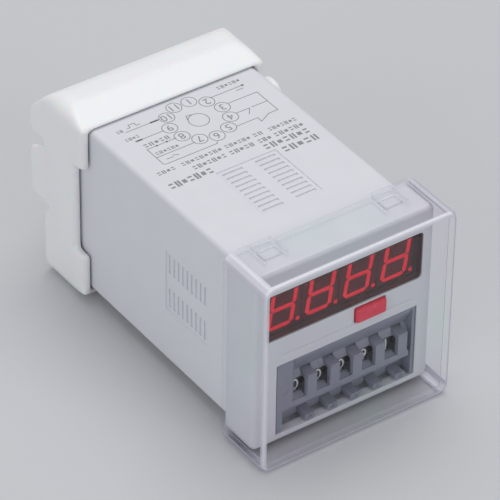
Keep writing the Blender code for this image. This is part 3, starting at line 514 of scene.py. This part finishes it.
def line_plan(into):
    """The thin lines from the circles to the edges of the plan, in millimetres from the ring's centre."""
    for run in (
        [(6.9, 5.5), (15.6, 5.5)],
        [(13.3, 4.5), (15.2, 4.5)],
        [(8.9, 1.5), (16.9, 1.5), (16.9, -6.7), (14.4, -6.7), (11.3, -8.3), (11.4, -6.7), (5.7, -6.7)],
        [(8.3, -2.6), (12.0, -2.6), (10.6, -4.5)],
        [(12.6, -2.6), (16.9, -2.6)],
        [(-7.3, 5.1), (-16.2, 5.1)],
        [(-15.3, 6.1), (-14.3, 6.1), (-14.3, 7.1), (-12.7, 7.1), (-12.7, 6.1), (-11.7, 6.1)],
        [(-8.9, 1.0), (-15.8, 1.0)],
        [(-8.0, -2.8), (-15.8, -2.8), (-15.8, -9.2), (-15.4, -9.6), (-1.7, -9.6), (-1.2, -9.0)],
        [(-5.6, -6.5), (-15.8, -6.5)],
        [(-10.9, -8.2), (-12.3, -7.6)],
        [(-12.3, -8.2), (-14.2, -8.2)],
    ):
        path(into, [(x * mm, y * mm) for x, y in run])
    for x, y, reach in ((-8.6, 5.1, 1.1), (-15.4, 1.0, 0.9)):
        dash(into, (x - reach, y), (x + reach, y), 0.55)
    for x, y, radius in ((15.7, 5.5, 0.38), (-10.5, -2.8, 0.28), (-13.2, -2.8, 0.28)):
        hoop(into, (x * mm, y * mm), radius * mm, radius * 0.8 * mm)


def text_plan(into):
    """Plain marks where the case carries words: beside the lines, and in rows below the plan."""
    for start, end, y, height, marks in (
        (16.4, 10.0, 7.6, 1.15, 6),
        (-16.3, -18.1, 6.0, 1.05, 2),
        (-14.3, -18.1, 2.5, 1.05, 4),
        (-8.9, -15.9, -1.5, 1.35, 5),
        (-9.0, -15.3, -5.3, 1.1, 6),
        (18.3, 10.6, -11.75, 1.25, 7),
        (9.1, 6.4, -11.75, 1.25, 2),
        (5.8, -1.2, -11.75, 1.25, 6),
        (-1.9, -12.8, -11.75, 1.25, 9),
        (-14.3, -19.2, -11.75, 1.25, 4),
        (18.5, 10.5, -14.2, 1.45, 6),
        (9.8, 6.1, -14.2, 1.45, 3),
        (5.1, -1.6, -14.2, 1.45, 5),
        (-2.4, -11.4, -14.2, 1.45, 7),
        (18.3, 5.9, -16.7, 1.95, 7),
        (18.6, 8.8, -19.75, 2.1, 5),
        (-7.9, -19.6, -17.0, 2.1, 7),
    ):
        marks_row(into, start, end, y, height, marks)


def connection_plan():
    """The whole print in one piece: ring, numbers, lines and marks, laid on the top of the case."""
    marks = bmesh.new()
    for number in range(1, 12):
        turn = math.pi / 2 - 2 * math.pi * (number - 0.5) / 11
        at = Vector((RING_RADIUS * math.cos(turn), RING_RADIUS * math.sin(turn)))
        hoop(marks, at, CIRCLE_RADIUS)
        upside_down = Matrix.Translation((at.x, at.y, 0)) @ Matrix.Rotation(math.pi, 4, "Z")
        add(marks, figures(str(number), NUMBER_HEIGHT), upside_down)
    hoop(marks, (0, 0), POST_MARK)
    tip = POST_POINT / math.cos(POST_HALF)
    corners = []
    for reach, swing in ((POST_MARK, -POST_SWING), (tip, 0), (POST_MARK, POST_SWING)):
        corners.append((reach * math.cos(POST_TURN + swing), reach * math.sin(POST_TURN + swing)))
    path(marks, corners)
    line_plan(marks)
    text_plan(marks)
    bmesh.ops.translate(marks, verts=marks.verts, vec=plan)
    bmesh.ops.solidify(marks, geom=marks.faces[:], thickness=INK_PROUD)
    bmesh.ops.translate(marks, verts=marks.verts, vec=(0, 0, INK_PROUD))
    bmesh.ops.recalc_face_normals(marks, faces=marks.faces)
    piece("connection_plan", marks, ink_finish, "counter", "case_grey")


connection_plan()


# Plug
# The plug base is a nylon plate with a round boss and a keyed post, pressed into the end of the case.
# Its eleven pins are turned brass with nickel plating.
BASE_EDGE = 0.15 * mm
PIN_EDGE = 0.05 * mm

nylon_finish = finish("white_nylon", (0.84, 0.85, 0.87), 0.36, 0.9 * mm, 0.006 * mm, 0.02)
pin_finish = finish("plated_pin", (0.74, 0.72, 0.68), 0.22, 0.4 * mm, 0.002 * mm, metallic=1.0)
dressed("plug_base", nylon_finish, "nylon_white", BASE_EDGE)
for number in range(1, 12):
    dressed(f"pin_{number:02d}", pin_finish, "pin_brass", PIN_EDGE)


# Bracket
# One moulding of white nylon that slides along the case from behind and clamps the panel with its four corner
# feet. It has no sharp edge on its outside, since its mould is polished and generously rounded.
SKIN = 0.42 * mm
SOFT_PASSES = 26

soft_nylon = finish("bracket_nylon", (0.89, 0.895, 0.91), 0.33, 1.2 * mm, 0.008 * mm, 0.02)
flesh = soft_nylon.node_tree.nodes["Principled BSDF"]
flesh.inputs["Subsurface Weight"].default_value = 0.25
flesh.inputs["Subsurface Scale"].default_value = 1.5 * mm

bracket = dressed("bracket", soft_nylon, "nylon_white", 0)
bracket.modifiers.remove(bracket.modifiers["shading"])
skin = bracket.modifiers.new("skin", "REMESH")
skin.mode = "VOXEL"
skin.voxel_size = SKIN
skin.use_smooth_shade = True
soften = bracket.modifiers.new("soften", "SMOOTH")
soften.factor = 0.5
soften.iterations = SOFT_PASSES


# Cover
# A clear box moulded in one piece, which clips over the bezel with hooks in its top and its underside. Its
# walls are just over 1 mm thick; the light that gathers in their rounded edges is painted: pale, with painted
# violet shade where they are seen edge on.
OUTER_EDGE = 0.13 * mm
OUTER_CREASE = 25
INNER_EDGE = 0.4 * mm
WALL_FRONT = 1.4 * mm
SQUARE = 0.995


def clear(name, tint, other_tint):
    """Clear plastic with a slow change of tint, which mirrors more where it is seen edge on."""
    made = bpy.data.materials.new(name)
    made.use_nodes = True
    tree = made.node_tree
    tree.nodes.remove(tree.nodes["Principled BSDF"])
    cloud = texture(tree, "ShaderNodeTexNoise", 1 / (26 * mm), 1)
    waves = texture(tree, "ShaderNodeTexNoise", 1 / (14 * mm), 2)
    through = tree.nodes.new("ShaderNodeBsdfTransparent")
    shade = tinted(tree, ranged(tree, cloud.outputs["Fac"], 0, 1), tint, other_tint)
    tree.links.new(shade, through.inputs["Color"])
    mirror = tree.nodes.new("ShaderNodeBsdfGlossy")
    mirror.inputs["Roughness"].default_value = 0.03
    tree.links.new(raised(tree, waves.outputs["Fac"], 0.02 * mm), mirror.inputs["Normal"])
    edge_on = tree.nodes.new("ShaderNodeLayerWeight")
    edge_on.inputs["Blend"].default_value = 0.5
    steep = tree.nodes.new("ShaderNodeMath")
    steep.operation = "POWER"
    steep.inputs[1].default_value = 5
    tree.links.new(edge_on.outputs["Facing"], steep.inputs[0])
    share = tree.nodes.new("ShaderNodeMath")
    share.operation = "MULTIPLY_ADD"
    share.inputs[1].default_value = 0.45
    share.inputs[2].default_value = 0.018
    tree.links.new(steep.outputs["Value"], share.inputs[0])
    surface = blended(tree, share.outputs["Value"], through.outputs["BSDF"], mirror.outputs["BSDF"])
    lit_through(tree, surface, (1, 1, 1))
    return made


def milky(name, colour, edge_on_painted_shade, share):
    """The rounded edges of clear plastic, painted pale for the light that gathers in them, with painted
    violet shade where they are seen edge on.
    """
    made = finish(name, colour, 0.10, 3 * mm, 0.01 * mm)
    tree = made.node_tree
    shader = tree.nodes["Principled BSDF"]
    edge_on = tree.nodes.new("ShaderNodeLayerWeight")
    edge_on.inputs["Blend"].default_value = 0.5
    # Painted light and shade: pale where the edge faces the eye, painted violet shade where it is seen edge
    # on
    tree.links.new(tinted(tree, edge_on.outputs["Facing"], colour, edge_on_painted_shade), shader.inputs["Base Color"])
    surface = blended(tree, share, passing(tree, (0.97, 0.96, 1.0)), shader.outputs["BSDF"])
    tree.links.new(surface, tree.nodes["Material Output"].inputs["Surface"])
    return made


cover_finish = clear("clear_moulding", (1.0, 0.985, 1.0), (0.98, 1.0, 0.995))
# Painted light: the cover's rounded edges are painted pale, with painted violet shade where seen edge on
cover_edge_painted_light = milky("clear_moulding_edge_painted_light", (0.98, 0.98, 1.0), (0.30, 0.28, 0.46), 0.72)
cover = dressed("clear_cover", cover_finish, "clear_plastic", OUTER_EDGE, 2, OUTER_CREASE)
cover.data.materials.append(cover_edge_painted_light)
cover.modifiers["edges"].material = 1

# The inner rim of the front is rounded, and all that isn't a flat wall gets the painted edge light
made = bmesh.new()
made.from_mesh(cover.data)
inner_front = min(vert.co.y for vert in made.verts) + WALL_FRONT
rim = [edge for edge in made.edges if all(abs(vert.co.y - inner_front) < CLOSE for vert in edge.verts)]
bmesh.ops.bevel(made, geom=rim, offset=INNER_EDGE, segments=3, profile=0.5, affect="EDGES", material=-1)
for face in made.faces:
    face.smooth = True
    if max(abs(part) for part in face.normal) < SQUARE:
        face.material_index = 1
made.to_mesh(cover.data)
made.free()


# Studio
# A pale floor, a broad soft lamp overhead, weaker ones from the left and the front, and an even pale sky.
# The camera stands to the left of the front and looks down on the counter.
MIDDLE = (0, 0, 0.02)
EYE = (-0.39139, -0.55332, 0.54768)
AZIMUTH = math.radians(-35.709)
ELEVATION = math.radians(37.956)
ROLL = math.radians(0.951)

floor_material = bpy.data.materials.new("floor_paper")
floor_material.use_nodes = True
paper = floor_material.node_tree.nodes["Principled BSDF"]
paper.inputs["Base Color"].default_value = (0.60, 0.61, 0.63, 1)
paper.inputs["Roughness"].default_value = 0.7

sheet = bmesh.new()
bmesh.ops.create_grid(sheet, x_segments=1, y_segments=1, size=3)
floor_mesh = bpy.data.meshes.new("floor")
sheet.to_mesh(floor_mesh)
sheet.free()
floor_mesh.materials.append(floor_material)
floor = bpy.data.objects.new("floor", floor_mesh)
bpy.context.scene.collection.objects.link(floor)


def lamp(name, at, size, power):
    """A soft white lamp that faces the counter."""
    data = bpy.data.lights.new(name, "AREA")
    data.shape = "RECTANGLE"
    data.size, data.size_y = size
    data.energy = power
    holder = bpy.data.objects.new(name, data)
    holder.location = at
    holder.rotation_euler = (Vector(MIDDLE) - Vector(at)).to_track_quat("-Z", "Y").to_euler()
    bpy.context.scene.collection.objects.link(holder)


lamp("overhead", (0.25, 0.25, 1.1), (0.9, 0.9), 5.8)
lamp("left_fill", (-1.0, -0.3, 0.5), (0.7, 0.7), 2.4)
lamp("front_fill", (0.3, -1.1, 0.6), (0.6, 0.5), 1.8)

world = bpy.data.worlds.new("studio_sky")
world.use_nodes = True
sky = world.node_tree.nodes["Background"]
sky.inputs["Color"].default_value = (0.95, 0.97, 1.0, 1)
sky.inputs["Strength"].default_value = 0.45
bpy.context.scene.world = world

across = math.cos(ELEVATION)
back = Vector((math.sin(AZIMUTH) * across, -math.cos(AZIMUTH) * across, math.sin(ELEVATION)))
level = (-back).cross(Vector((0, 0, 1))).normalized()
upright = level.cross(-back)
right = math.cos(ROLL) * level + math.sin(ROLL) * upright
up = math.cos(ROLL) * upright - math.sin(ROLL) * level
lens = bpy.data.cameras.new("studio_camera")
lens.lens = 274.08
lens.sensor_width = 36
lens.clip_start = 0.01
camera = bpy.data.objects.new("studio_camera", lens)
turn = Matrix((right, up, back)).transposed().to_4x4()
camera.matrix_world = Matrix.Translation(EYE) @ turn
bpy.context.scene.collection.objects.link(camera)
bpy.context.scene.camera = camera

bpy.context.scene.view_settings.view_transform = "Standard"
